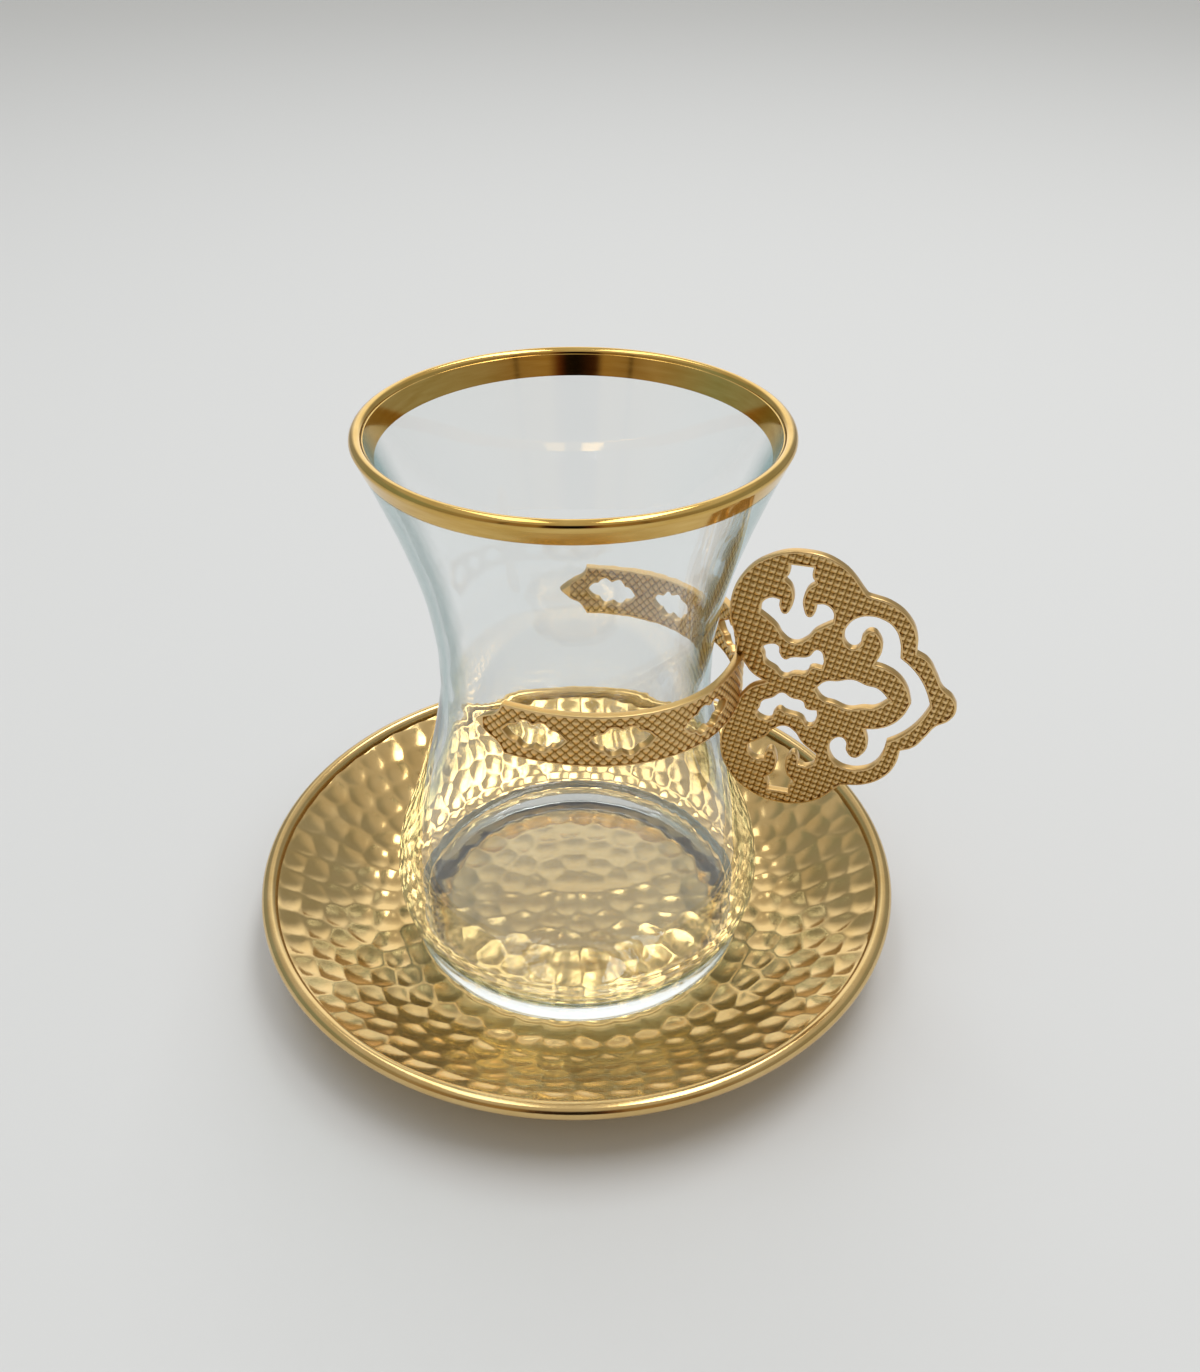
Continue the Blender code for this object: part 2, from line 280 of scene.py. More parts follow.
# Polished gold-coloured plating over the hammered sheet: a clear mirror in each cup, with a
# faint haze and fine rubbing marks that soften its reflections.
HAZE_SIZE = 9 * MM
RUB_WIDTH = 0.6 * MM
RUB_DEPTH = 0.05 * MM
plating, tree, shader = new_material("polished_pale_gold_plating")
shader.inputs["Metallic"].default_value = 1.0
where = add_node(tree, "ShaderNodeTexCoord")
haze = add_node(
    tree,
    "ShaderNodeTexNoise",
    {"Scale": 1 / HAZE_SIZE, "Detail": 4.0, "Roughness": 0.6},
    {"Vector": where.outputs["Object"]},
)
tint = add_node(
    tree,
    "ShaderNodeValToRGB",
    links={"Fac": haze.outputs["Fac"]},
    stops=((0.3, "#D3B173"), (0.7, "#DDBF86")),
)
tree.links.new(tint.outputs["Color"], shader.inputs["Base Color"])
polish = add_node(
    tree,
    "ShaderNodeMapRange",
    {"To Min": 0.12, "To Max": 0.2},
    {"Value": haze.outputs["Fac"]},
)
tree.links.new(polish.outputs["Result"], shader.inputs["Roughness"])
rubbing = add_node(
    tree,
    "ShaderNodeTexNoise",
    {"Scale": 1 / RUB_WIDTH, "Detail": 2.0},
    {"Vector": where.outputs["Object"]},
)
bump = add_node(
    tree,
    "ShaderNodeBump",
    {"Strength": 0.12, "Distance": RUB_DEPTH},
    {"Height": rubbing.outputs["Fac"]},
)
tree.links.new(bump.outputs["Normal"], shader.inputs["Normal"])
saucer.data.materials.append(plating)
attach(saucer, "root")
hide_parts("saucer")

# The glass is pressed and fire-polished soda-lime glass: a flared mouth, a waist, and a bulb
# over a low foot and a thick floor, domed a little underneath so that it stands on a ring.
CLEARANCE = 0.3 * MM
FOOT_HEIGHT = SHEET + CLEARANCE
GLASS_HEIGHT = 95.3 * MM
RIM_RADIUS = 32.5 * MM
LIP = 1.9 * MM
WALLS = ((0.0, 2.3 * MM), (0.5, 1.8 * MM), (1.0, LIP))
FLOOR = 5.0 * MM
FLOOR_CORNER = 4.0 * MM
FLOOR_ARC = (-90, -3, 14)
LIP_ARC = (172, 8, 12)
GLASS_STEPS = 6
GLASS_SIDES = 192
glass_outline = [(RIM_RADIUS, GLASS_HEIGHT - LIP / 2)]
glass_outline += in_mm((29.9, 88.0), (26.5, 78.5), (23.85, 69.0), (22.5, 60.0), (22.3, 54.5))
glass_outline += in_mm((22.45, 49.5), (23.9, 41.5), (26.2, 33.5), (28.9, 25.5), (31.6, 18.0))
glass_outline += in_mm((32.5, 11.5), (32.1, 8.0), (31.1, 5.4), (30.4, 4.4), (30.3, 3.2), (30.2, 0.9))
glass_outline += in_mm((29.8, 0.2), (29.2, 0.0))


def arc(centre, radius, start, end, steps):
    """Points of a circle in the plane of the outline, from start to end in degrees."""
    turns = [radians(start + (end - start) * k / steps) for k in range(steps + 1)]
    return [np.array((centre[0] + radius * cos(a), centre[1] + radius * sin(a))) for a in turns]


def inward(line, depth_at):
    """The line moved in square to itself, by the depth at each height."""
    moved = []
    for before, here, after in zip(line, line[1:], line[2:]):
        run = (after - before) / hypot(*(after - before))
        moved.append(here + depth_at(here[1]) * np.array((run[1], -run[0])))
    return moved


def wall_at(height):
    """The thickness of the wall at a height above the foot."""
    return np.interp(height / GLASS_HEIGHT, *zip(*WALLS))


def turned(name, line, sides):
    """A line of vertices, extruded point by point and spun once round the upright axis."""
    bpy.ops.object.select_all(action="DESELECT")
    bpy.ops.mesh.primitive_plane_add(size=MM)
    piece = bpy.context.object
    piece.name = name
    edit(piece)
    bpy.ops.mesh.select_mode(type="VERT")
    bpy.ops.mesh.select_all(action="SELECT")
    bpy.ops.mesh.merge(type="CENTER")
    steps = [line[0], *(after - before for before, after in zip(line, line[1:]))]
    bpy.ops.transform.translate(value=(steps[0][0], 0, steps[0][1]))
    for out, up in steps[1:]:
        bpy.ops.mesh.extrude_region_move(TRANSFORM_OT_translate={"value": (out, 0, up)})
    bpy.ops.mesh.select_all(action="SELECT")
    bpy.ops.mesh.spin(steps=sides, angle=tau, center=(0, 0, 0), axis=(0, 0, 1))
    bpy.ops.mesh.select_all(action="SELECT")
    bpy.ops.mesh.remove_doubles(threshold=1e-6)
    bpy.ops.mesh.normals_make_consistent(inside=False)
    bpy.ops.object.mode_set(mode="OBJECT")
    bpy.ops.object.shade_smooth_by_angle(angle=radians(40))
    return piece


outside = smooth_line(glass_outline, GLASS_STEPS)
inside = inward(outside, wall_at)
wall = [p for p in inside if p[1] > FLOOR + FLOOR_CORNER]
floor_corner = (wall[-1][0] - FLOOR_CORNER, FLOOR + FLOOR_CORNER)
lip = arc((RIM_RADIUS - LIP / 2, GLASS_HEIGHT - LIP / 2), LIP / 2, *LIP_ARC)
glass_line = [np.array((0.0, FLOOR)), *arc(floor_corner, FLOOR_CORNER, *FLOOR_ARC)]
glass_line += [*reversed(wall), *lip, *outside]
punt = in_mm((28.2, 0.0), (27.4, 0.3), (20.0, 1.2), (10.0, 1.6), (0.0, 1.6))
glass_line += [np.array(p) for p in punt]
glass_line = [p + np.array((0, FOOT_HEIGHT)) for p in glass_line]
glass = turned("tulip_glass", glass_line, GLASS_SIDES)

# Clear soda-lime glass. Its iron shows as a grey-green tint where the wall is seen edge on, and
# pressing leaves faint upright ripples. Shadow rays pass it, so that it casts a pale shadow.
RIPPLE_WIDTH = 2.5 * MM
RIPPLE_DEPTH = 0.03 * MM
clear, tree, shader = new_material("clear_soda_lime_glass")
grazing = add_node(tree, "ShaderNodeLayerWeight", {"Blend": 0.5})
tint = add_node(
    tree,
    "ShaderNodeValToRGB",
    links={"Fac": grazing.outputs["Facing"]},
    stops=((0.58, "#FCFDFD"), (0.78, "#7F9D9C"), (0.95, "#688584")),
)
tree.links.new(tint.outputs["Color"], shader.inputs["Base Color"])
shader.inputs["Roughness"].default_value = 0.0
shader.inputs["IOR"].default_value = 1.52
shader.inputs["Transmission Weight"].default_value = 1.0
path = add_node(tree, "ShaderNodeLightPath")
passing = add_node(tree, "ShaderNodeBsdfTransparent", {"Color": linear("#EAF0EE")})
either = add_node(
    tree,
    "ShaderNodeMixShader",
    links={
        "Fac": path.outputs["Is Shadow Ray"],
        1: shader.outputs["BSDF"],
        2: passing.outputs["BSDF"],
    },
)
where = add_node(tree, "ShaderNodeTexCoord")
drawn_out = add_node(tree, "ShaderNodeMapping", links={"Vector": where.outputs["Object"]})
drawn_out.inputs["Scale"].default_value = (1, 1, 0.1)
ripple = add_node(
    tree,
    "ShaderNodeTexNoise",
    {"Scale": 1 / RIPPLE_WIDTH, "Detail": 1.0},
    {"Vector": drawn_out.outputs["Vector"]},
)
bump = add_node(
    tree,
    "ShaderNodeBump",
    {"Strength": 0.5, "Distance": RIPPLE_DEPTH},
    {"Height": ripple.outputs["Fac"]},
)
tree.links.new(bump.outputs["Normal"], shader.inputs["Normal"])
iron = add_node(
    tree,
    "ShaderNodeVolumeAbsorption",
    {"Color": linear("#A8CFCF"), "Density": 13.0},
)
output = tree.nodes["Material Output"]
tree.links.new(either.outputs["Shader"], output.inputs["Surface"])
tree.links.new(iron.outputs["Volume"], output.inputs["Volume"])
glass.data.materials.append(clear)
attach(glass, "root")
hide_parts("glass")

# The gilding is liquid bright gold, brushed round the lip and fired on, so that faint strokes run
# round it. It reaches about as far down inside as outside, and is a film too thin to feel, drawn
# here 0.04 mm thick.
FILM = 0.04 * MM
GILT_OUTSIDE = 5.5 * MM
GILT_INSIDE = 5.3 * MM
STROKE_WIDTH = 0.7 * MM
top = GLASS_HEIGHT + FOOT_HEIGHT
lip_line = [p + np.array((0, FOOT_HEIGHT)) for p in (*reversed(wall), *lip, *outside)]
over = next(k for k, p in enumerate(lip_line) if p[0] > RIM_RADIUS - LIP / 2)
gilt_line = [p for p in lip_line[:over] if p[1] > top - GILT_INSIDE]
gilt_line += [p for p in lip_line[over:] if p[1] > top - GILT_OUTSIDE]
outer_face = inward(gilt_line, lambda height: -FILM / 2)
inner_face = inward(gilt_line, lambda height: FILM / 2)
gilding = turned("rim_gilding", [*outer_face, *reversed(inner_face), outer_face[0]], GLASS_SIDES)
gilt, tree, shader = new_material("fired_bright_gold")
shader.inputs["Metallic"].default_value = 1.0
where = add_node(tree, "ShaderNodeTexCoord")
brushed = add_node(tree, "ShaderNodeMapping", links={"Vector": where.outputs["Object"]})
brushed.inputs["Scale"].default_value = (0.12, 0.12, 1)
strokes = add_node(
    tree,
    "ShaderNodeTexNoise",
    {"Scale": 1 / STROKE_WIDTH, "Detail": 3.0},
    {"Vector": brushed.outputs["Vector"]},
)
tone = add_node(
    tree,
    "ShaderNodeValToRGB",
    links={"Fac": strokes.outputs["Fac"]},
    stops=((0.3, "#D0A858"), (0.7, "#DFBB6F")),
)
tree.links.new(tone.outputs["Color"], shader.inputs["Base Color"])
lustre = add_node(
    tree,
    "ShaderNodeMapRange",
    {"To Min": 0.06, "To Max": 0.14},
    {"Value": strokes.outputs["Fac"]},
)
tree.links.new(lustre.outputs["Result"], shader.inputs["Roughness"])
gilding.data.materials.append(gilt)
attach(gilding, "root")

# The holder is a zinc casting, plated antique gold: an open band that clips round the waist, and
# a flat handle plate pierced with a traditional leaf and scrolls. Both faces of each are cast
# with a close net of small pillows inside a smooth border, and every edge is rounded.
HOLDER_MIDDLE = FOOT_HEIGHT + 55.5 * MM
CAST_HALF = 0.7 * MM
EDGE_ROUNDING = 0.2 * MM
BORDER = 0.32 * MM
PILLOW_TOP = 0.66 * MM
PILLOW_GAP = 0.38 * MM
PILLOW_FULLNESS = 0.6
PILLOW_CUTS = 4
PLATE_PITCH, PLATE_TURN = 1.07 * MM, -11
BAND_PITCH, BAND_TURN = 1.13 * MM, 45
ROUND, CORNER = "AUTO", "VECTOR"


def mirrored(half):
    """The half above the middle line, and the same half below it. Points on the line come once."""
    below = [(u, -w, kind) for u, w, kind in reversed(half) if w > 1e-9]
    return [*half, *below]


def on_arc(centre, radius, *turns):
    """Points of an outline on a circle, at turns in degrees."""
    rays = [(cos(radians(turn)), sin(radians(turn))) for turn in turns]
    return [(centre[0] + radius * u, centre[1] + radius * w, ROUND) for u, w in rays]


def cut_sheet(name, outlines, half_depth, inset=0.0, rounding=0.0):
    """A flat body from outlines in millimetres: its edge, then its holes, with rounded edges."""
    bpy.ops.object.select_all(action="DESELECT")
    bpy.ops.curve.primitive_bezier_circle_add()
    sheet = bpy.context.object
    sheet.name = name
    curve = sheet.data
    curve.splines.clear()
    curve.dimensions = "2D"
    curve.fill_mode = "BOTH"
    curve.resolution_u = 8
    curve.extrude = half_depth - rounding
    curve.bevel_depth = rounding
    curve.bevel_resolution = 2
    curve.offset = -inset - rounding
    for outline in outlines:
        spline = curve.splines.new("BEZIER")
        spline.bezier_points.add(len(outline) - 1)
        for point, (u, w, kind) in zip(spline.bezier_points, outline):
            point.co = (u * MM, w * MM, 0)
            point.handle_left_type = point.handle_right_type = kind
        spline.use_cyclic_u = True
    bpy.ops.object.convert(target="MESH")
    edit(sheet)
    bpy.ops.mesh.select_all(action="SELECT")
    bpy.ops.mesh.remove_doubles(threshold=1e-7)
    bpy.ops.mesh.normals_make_consistent(inside=False)
    bpy.ops.object.mode_set(mode="OBJECT")
    return sheet


def knurled_slab(middle, size, pitch, turn):
    """A slab of pillows on both faces: one pillow is shaped, then repeated along and across."""
    bpy.ops.object.select_all(action="DESELECT")
    bpy.ops.mesh.primitive_grid_add(x_subdivisions=PILLOW_CUTS, y_subdivisions=PILLOW_CUTS, size=pitch)
    slab = bpy.context.object
    for vertex in slab.data.vertices:
        across, along = (max(cos(pi * c / pitch), 0) for c in vertex.co.xy)
        vertex.co.z = PILLOW_GAP + (PILLOW_TOP - PILLOW_GAP) * (across * along) ** PILLOW_FULLNESS
    for axis, reach in enumerate(size):
        row = slab.modifiers.new("row", "ARRAY")
        row.count = int(reach / pitch) + 2
        row.relative_offset_displace = [float(axis == i) for i in range(3)]
        row.use_merge_vertices = True
        row.merge_threshold = 1e-6
        bpy.ops.object.modifier_apply(modifier=row.name)
    edit(slab)
    bpy.ops.mesh.select_all(action="SELECT")
    bpy.ops.transform.translate(value=[-pitch * int(reach / pitch + 1) / 2 for reach in size] + [0])
    bpy.ops.mesh.duplicate()
    bpy.ops.transform.resize(value=(1, 1, -1), center_override=(0, 0, 0))
    select_edges(slab, lambda e: e.is_boundary)
    bpy.ops.mesh.bridge_edge_loops()
    bpy.ops.mesh.select_all(action="SELECT")
    bpy.ops.mesh.normals_make_consistent(inside=False)
    bpy.ops.transform.rotate(value=-radians(turn), orient_axis="Z", center_override=(0, 0, 0))
    bpy.ops.transform.translate(value=middle)
    bpy.ops.object.mode_set(mode="OBJECT")
    return slab


def carve(piece, tool, operation="DIFFERENCE"):
    """Cuts the tool out of the piece, or joins it on, and removes the tool."""
    change = piece.modifiers.new("carve", "BOOLEAN")
    change.operation = operation
    change.object = tool
    change.solver = "MANIFOLD"
    bpy.context.view_layer.objects.active = piece
    bpy.ops.object.modifier_apply(modifier=change.name)
    bpy.data.objects.remove(tool)


def knurled_sheet(name, edge, field_edge, holes, pitch, turn, slices=()):
    """A pierced sheet, with its faces sunk inside the border down to the pillows."""
    sheet = cut_sheet(name, [edge, *holes], CAST_HALF, rounding=EDGE_ROUNDING)
    edit(sheet)
    for place in slices:
        bpy.ops.mesh.select_all(action="SELECT")
        bpy.ops.mesh.bisect(plane_co=(place * MM, 0, 0), plane_no=(1, 0, 0), threshold=1e-7)
    bpy.ops.object.mode_set(mode="OBJECT")
    field = cut_sheet("field", [field_edge, *holes], 2 * CAST_HALF, inset=BORDER)
    low, high = (Vector(c) for c in (field.bound_box[0], field.bound_box[6]))
    lean = radians(turn)
    wide, tall = (high - low).xy
    along, across = abs(cos(lean)), abs(sin(lean))
    size = [wide * along + tall * across, wide * across + tall * along]
    middle = (low + high) / 2
    carve(field, knurled_slab((*middle.xy, 0), size, pitch, turn))
    carve(sheet, field)
    return sheet


lobe, second_lobe = (35.6, 12.9), (45.9, 10.1)
plate_edge = [(31.4, 0.0, CORNER), (29.1, 1.3, ROUND), (27.9, 2.8, ROUND), (27.4, 3.6, CORNER)]
plate_edge += [(26.4, 3.6, CORNER), (26.4, 7.2, CORNER)]
plate_edge += on_arc(lobe, 10.8, 200, 180, 150, 120, 90, 60)
plate_edge += [(45.18, 17.89, CORNER)]
plate_edge += on_arc(second_lobe, 7.5, 65, 38, 15)
plate_edge += [(53.5, 9.2, CORNER), (55.3, 8.2, ROUND), (57.0, 5.6, ROUND), (58.1, 3.6, ROUND)]
plate_edge += [(59.9, 2.1, ROUND), (60.7, 0.0, ROUND)]
scroll = [(56.8, 0.0, CORNER), (55.9, 2.4, ROUND), (54.6, 4.7, ROUND), (52.9, 6.6, ROUND)]
scroll += [(51.2, 7.9, CORNER), (50.8, 10.6, ROUND), (49.6, 13.0, ROUND), (47.9, 14.1, ROUND)]
scroll += [(46.0, 14.4, ROUND), (44.1, 13.8, ROUND), (42.9, 12.4, ROUND), (42.5, 10.6, ROUND)]
scroll += [(43.0, 9.0, ROUND), (44.1, 8.4, ROUND), (45.0, 9.2, ROUND), (45.2, 10.8, ROUND)]
scroll += [(46.5, 12.0, ROUND), (47.8, 11.0, ROUND), (48.4, 9.0, ROUND), (47.6, 6.1, CORNER)]
scroll += [(49.4, 5.7, ROUND), (51.4, 4.6, ROUND), (53.0, 2.6, ROUND), (53.9, 0.0, CORNER)]
leaf_eye = [(39.2, 0.0, CORNER), (40.6, 1.7, ROUND), (42.4, 2.1, ROUND), (44.6, 2.75, ROUND)]
leaf_eye += [(46.9, 2.1, ROUND), (48.6, 1.8, ROUND), (50.6, 0.0, CORNER)]
bud_half = [(0.0, 7.9, ROUND), (1.7, 8.8, ROUND), (2.9, 10.5, ROUND), (4.2, 11.6, ROUND)]
bud_half += [(5.5, 12.5, CORNER), (5.3, 14.3, ROUND), (4.1, 15.3, ROUND), (2.8, 15.2, CORNER)]
bud_half += [(2.7, 13.8, ROUND), (1.9, 12.8, ROUND), (1.05, 13.7, ROUND), (1.05, 17.4, ROUND)]
bud_half += [(2.3, 18.8, CORNER), (1.7, 19.8, ROUND), (1.7, 21.3, CORNER)]
BUD_MIDDLE = 35.1
bud = [(BUD_MIDDLE + u, w, kind) for u, w, kind in bud_half]
bud += [(BUD_MIDDLE - u, w, kind) for u, w, kind in reversed(bud_half[1:])]
knot = [(30.4, 6.2, ROUND), (31.2, 7.0, ROUND), (32.7, 7.0, ROUND), (33.1, 5.6, ROUND)]
knot += [(34.0, 4.7, ROUND), (35.0, 5.2, ROUND), (37.6, 5.8, ROUND), (38.9, 7.2, ROUND)]
knot += [(39.9, 5.6, ROUND), (39.8, 4.0, CORNER), (38.1, 3.9, ROUND), (37.5, 2.7, ROUND)]
knot += [(35.6, 2.3, ROUND), (34.1, 1.6, ROUND), (32.8, 2.7, ROUND), (31.1, 3.8, ROUND)]
knot += [(30.8, 5.0, ROUND)]
openings = [mirrored(scroll), mirrored(leaf_eye)]
openings += [[(u, side * w, kind) for u, w, kind in hole] for hole in (bud, knot) for side in (1, -1)]
plate_edge = mirrored(plate_edge)
holder = knurled_sheet("gilt_holder", plate_edge, plate_edge, openings, PLATE_PITCH, PLATE_TURN)
edit(holder)
bpy.ops.mesh.select_all(action="SELECT")
bpy.ops.transform.rotate(value=-radians(90), orient_axis="X", center_override=(0, 0, 0))
bpy.ops.object.mode_set(mode="OBJECT")

# The band is made flat, like a strap with three eyes to a side, then bent round the waist. It
# stands off the glass near the handle. Its half width is in millimetres, as all outlines are.
BAND_INNER = 22.8 * MM
BAND_DEPTH = 0.6 * MM
BAND_BULGE = 3.4 * MM
BULGE_DEGREES = 20
SETTLE_DEGREES = 75
BAND_HALF = 4.6
SHOULDER_DEGREES = 101
TIP_DEGREES = 12
TIP = ((0.0, 1.0), (1.2, 0.76), (3.2, 0.55), (6.0, 0.42), (9.0, 0.25), (TIP_DEGREES, 0.0))
EYE_DEGREES = (26, 58, 89)
STRAP_STEP = 5
SLICE_STEP = 2.5


def band_place(degrees):
    """The middle of the band's thickness in plan, at an angle from the handle."""
    t = min(max((abs(degrees) - BULGE_DEGREES) / SETTLE_DEGREES, 0), 1)
    reach = BAND_INNER + BAND_BULGE * (1 - t * t * (3 - 2 * t)) + BAND_DEPTH
    return Vector((reach * cos(radians(degrees)), reach * sin(radians(degrees)), 0))


def degrees_of(x, y):
    """The angle of a place in plan, from the handle."""
    return atan2(y, x) * 180 / pi


half_turn = [band_place(degrees) for degrees in range(SHOULDER_DEGREES + TIP_DEGREES + 1)]
steps = [(after - before).length for before, after in zip(half_turn, half_turn[1:])]
band_run = np.concatenate([[0], np.cumsum(steps)]) / MM


def run_at(degrees):
    """How far along the strap an angle from the handle comes, in millimetres."""
    return float(np.interp(degrees, range(len(band_run)), band_run))


def strap(tip):
    """The band's outline laid flat, between two tips given by degrees past the shoulder."""
    ending = [(run_at(SHOULDER_DEGREES + past), BAND_HALF * share, ROUND) for past, share in tip]
    ending[0] = (*ending[0][:2], CORNER)
    ending[-1] = (*ending[-1][:2], CORNER)
    marks = range(STRAP_STEP, SHOULDER_DEGREES, STRAP_STEP)
    half = [*((run_at(degrees), BAND_HALF, CORNER) for degrees in marks), *ending]
    far_half = [(-u, w, kind) for u, w, kind in half]
    return mirrored([*reversed(half), (0.0, BAND_HALF, CORNER), *far_half])


eye = [(4.8, 0.0, CORNER), (3.5, 1.3, ROUND), (2.65, 1.45, CORNER), (1.45, 2.5, ROUND)]
eye += [(0.0, 1.95, CORNER)]
eye = mirrored([*eye, *((-u, w, kind) for u, w, kind in reversed(eye[:-1]))])
eye_runs = [side * run_at(degrees) for side in (1, -1) for degrees in EYE_DEGREES]
eyes = [[(u + run, w, kind) for u, w, kind in eye] for run in eye_runs]
marks = np.arange(1.0, SHOULDER_DEGREES + TIP_DEGREES, SLICE_STEP)
slices = [side * run_at(degrees) for side in (1, -1) for degrees in marks]
band = knurled_sheet("band", strap(TIP), strap(TIP[:-1]), eyes, BAND_PITCH, BAND_TURN, slices)
for vertex in band.data.vertices:
    run, up, out = vertex.co / MM
    degrees = float(np.interp(abs(run), band_run, range(len(band_run)))) * (1 if run > 0 else -1)
    along = (band_place(degrees + 0.5) - band_place(degrees - 0.5)).normalized()
    outward = Vector((along.y, -along.x, 0))
    vertex.co = band_place(degrees) + outward * out * MM + Vector((0, 0, up * MM))
carve(holder, band, "UNION")
edit(holder)
bpy.ops.mesh.select_all(action="SELECT")
bpy.ops.transform.translate(value=(0, 0, HOLDER_MIDDLE))
bpy.ops.mesh.normals_make_consistent(inside=False)
bpy.ops.object.mode_set(mode="OBJECT")
bpy.ops.object.shade_smooth_by_angle(angle=radians(40))
# The relief below is the mask for the painted shade in the plating: low in the gaps between the
# pillows and in the walls of the edges and piercings, high on the pillow tops and the border.
ON_BAND = CAST_HALF + 0.05 * MM
BAND_REACH = (BAND_HALF + 0.1) * MM
relief = holder.data.attributes.new("relief", "FLOAT", "POINT")
for vertex, value in zip(holder.data.vertices, relief.data):
    x, y, z = vertex.co
    off_band = hypot(x, y) - band_place(degrees_of(x, y)).length
    on_band = off_band < ON_BAND and abs(z - HOLDER_MIDDLE) < BAND_REACH
    value.value = abs(off_band if on_band else y) / MM

# Pale antique gold plating over cast zinc, with painted shade: the colour goes dark where the relief
# is low, in the gaps between the pillows and deep in the walls of the edges and piercings, and light
# on the pillow tops and the border. The relief says how far a point stands off the middle of the
# sheet, in millimetres.
GRAIN_SIZE = 0.5 * MM
GRAIN_DEPTH = 0.04 * MM
plated, tree, shader = new_material("antique_gold_plating_painted_gap_shade")
shader.inputs["Metallic"].default_value = 1.0
height = add_node(tree, "ShaderNodeAttribute", {"attribute_name": "relief"})
# Painted shade: dark brown where the relief is low, in the gaps, edges and piercings, and pale gold on
# the pillow tops and the border.
tone = add_node(
    tree,
    "ShaderNodeValToRGB",
    links={"Fac": height.outputs["Fac"]},
    stops=((0.39, "#82602C"), (0.47, "#D3AC6A"), (0.6, "#E8C78E")),
)
tree.links.new(tone.outputs["Color"], shader.inputs["Base Color"])
where = add_node(tree, "ShaderNodeTexCoord")
grain = add_node(
    tree,
    "ShaderNodeTexNoise",
    {"Scale": 1 / GRAIN_SIZE, "Detail": 3.0},
    {"Vector": where.outputs["Object"]},
)
matt = add_node(
    tree,
    "ShaderNodeMapRange",
    {"To Min": 0.24, "To Max": 0.38},
    {"Value": grain.outputs["Fac"]},
)
tree.links.new(matt.outputs["Result"], shader.inputs["Roughness"])
cast = add_node(
    tree,
    "ShaderNodeBump",
    {"Strength": 0.25, "Distance": GRAIN_DEPTH},
    {"Height": grain.outputs["Fac"]},
)
tree.links.new(cast.outputs["Normal"], shader.inputs["Normal"])
holder.data.materials.clear()
holder.data.materials.append(plated)
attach(holder, "root")
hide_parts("holder")

# A sheet of pale paper under the saucer, and two long soft lights under the ceiling, the right
# one the stronger. The room is pale, but dark behind the camera, as in front of an open light
# tent: gold and glass show those dark strips, as they do in any studio.
TURN = radians(16.5)
LIGHT_ASIDE = 0.28
LIGHT_BEHIND = 0.2
LIGHT_HEIGHT = 1.15
LIGHT_SIZE = (0.29, 1.0)
BOUNCES = 24
bpy.ops.mesh.primitive_plane_add(size=8)
ground = bpy.context.object
ground.name = "floor"
paper, tree, shader = new_material("matt_paper")
shader.inputs["Base Color"].default_value = linear("#E1E3E5")
shader.inputs["Roughness"].default_value = 0.9
ground.data.materials.append(paper)


def ceiling_light(name, side, power, tint):
    """A long soft light under the ceiling, in line with the view, that shines straight down."""
    place = Matrix.Rotation(TURN, 4, "Z") @ Vector((side * LIGHT_ASIDE, LIGHT_BEHIND, LIGHT_HEIGHT))
    bpy.ops.object.light_add(type="AREA", location=place, rotation=(0, 0, TURN))
    lamp = bpy.context.object
    lamp.name = name
    lamp.data.shape = "RECTANGLE"
    lamp.data.size, lamp.data.size_y = LIGHT_SIZE
    lamp.data.energy = power
    lamp.data.color = linear(tint)[:3]


ceiling_light("light_left", -1, 2.2, "#F8FBFF")
ceiling_light("light_right", 1, 5.2, "#FCFBFA")
world = bpy.data.worlds.new("pale_room")
bpy.context.scene.world = world
world.use_nodes = True
room = world.node_tree
sight = add_node(room, "ShaderNodeTexCoord")
faced = add_node(room, "ShaderNodeMapping", links={"Vector": sight.outputs["Generated"]})
faced.inputs["Rotation"].default_value = (0, 0, -TURN)
around = add_node(
    room,
    "ShaderNodeTexGradient",
    {"gradient_type": "RADIAL"},
    {"Vector": faced.outputs["Vector"]},
)

# The walls, once round from the left: the camera's side at 0.25 of a turn, the right wall at 0.5
# and the far wall at 0.75. Above them comes the ceiling.
walls = add_node(
    room,
    "ShaderNodeValToRGB",
    links={"Fac": around.outputs["Fac"]},
    stops=(
        (0.0, "#7E8C89"),
        (0.11, "#918572"),
        (0.15, "#847359"),
        (0.153, "#0A0706"),
        (0.158, "#847359"),
        (0.2, "#8C7857"),
        (0.21, "#341D12"),
        (0.24, "#0C0907"),
        (0.262, "#100C09"),
        (0.275, "#4C2717"),
        (0.292, "#8C7857"),
        (0.342, "#847359"),
        (0.345, "#0A0706"),
        (0.35, "#847359"),
        (0.4, "#898478"),
        (0.5, "#898B85"),
        (0.67, "#8B8D8C"),
        (0.715, "#FAFBFC"),
        (0.785, "#FAFBFC"),
        (0.83, "#8B8D8C"),
        (1.0, "#7E8C89"),
    ),
)
split = add_node(room, "ShaderNodeSeparateXYZ", links={"Vector": faced.outputs["Vector"]})
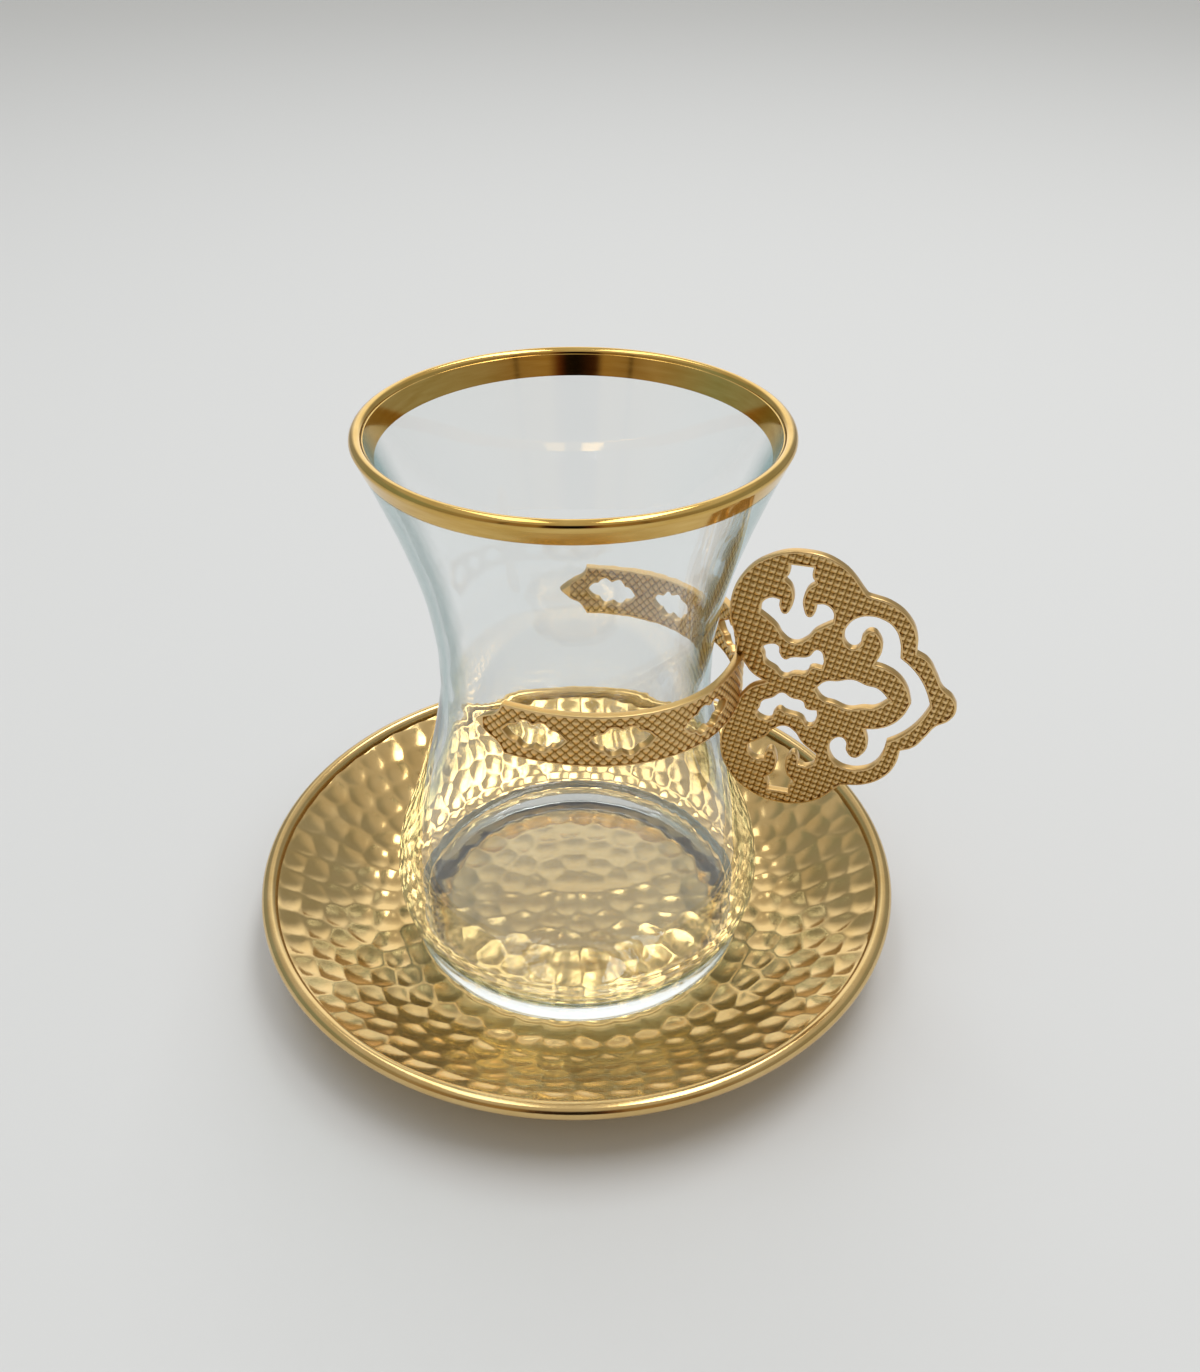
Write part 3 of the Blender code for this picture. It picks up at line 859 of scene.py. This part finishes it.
up = add_node(
    room,
    "ShaderNodeMapRange",
    {"From Min": 0.55, "From Max": 0.72},
    {"Value": split.outputs["Z"]},
)
seen = add_node(
    room,
    "ShaderNodeMix",
    {"data_type": "RGBA", 7: linear("#AFADA9")},
    {"Factor": up.outputs["Result"], 6: walls.outputs["Color"]},
)
background = room.nodes["Background"]
background.inputs["Strength"].default_value = 1.4
room.links.new(seen.outputs[2], background.inputs["Color"])
ray = add_node(room, "ShaderNodeLightPath")
backdrop = add_node(room, "ShaderNodeBackground", {"Color": linear("#DCDFE0")})
shown = add_node(
    room,
    "ShaderNodeMixShader",
    links={
        "Fac": ray.outputs["Is Camera Ray"],
        1: background.outputs["Background"],
        2: backdrop.outputs["Background"],
    },
)
room.links.new(shown.outputs["Shader"], room.nodes["World Output"].inputs["Surface"])
bpy.context.scene.view_settings.view_transform = "Standard"
for kind in ("max_bounces", "transmission_bounces", "glossy_bounces"):
    setattr(bpy.context.scene.cycles, kind, BOUNCES)

# The camera stands 17 cm in front of the glass and as far above the saucer, and looks down at
# it. With the lights and the room it is turned to the handle's side.
FOCAL_PIXELS = 1241.2
PHOTO_HEIGHT = 1372
PITCH = radians(34.50)
YAW = radians(1.336)
ROLL = radians(0.239)
BACK = 5.2527 * RIM_RADIUS
UP = 4.7762 * RIM_RADIUS + ROLL_HEIGHT
SENSOR = 36
forward = Vector((sin(YAW) * cos(PITCH), cos(YAW) * cos(PITCH), -sin(PITCH)))
right = Vector((cos(YAW), -sin(YAW), 0))
above = right.cross(forward)
right, above = right * cos(ROLL) + above * sin(ROLL), above * cos(ROLL) - right * sin(ROLL)
pose = Matrix((right, above, -forward)).transposed().to_4x4()
pose.translation = Vector((0, -BACK, UP))
bpy.ops.object.camera_add()
camera = bpy.context.object
camera.matrix_world = Matrix.Rotation(TURN, 4, "Z") @ pose
camera.data.sensor_fit = "VERTICAL"
camera.data.sensor_height = SENSOR
camera.data.lens = SENSOR * FOCAL_PIXELS / PHOTO_HEIGHT
camera.data.clip_start = 0.001
bpy.context.scene.camera = camera
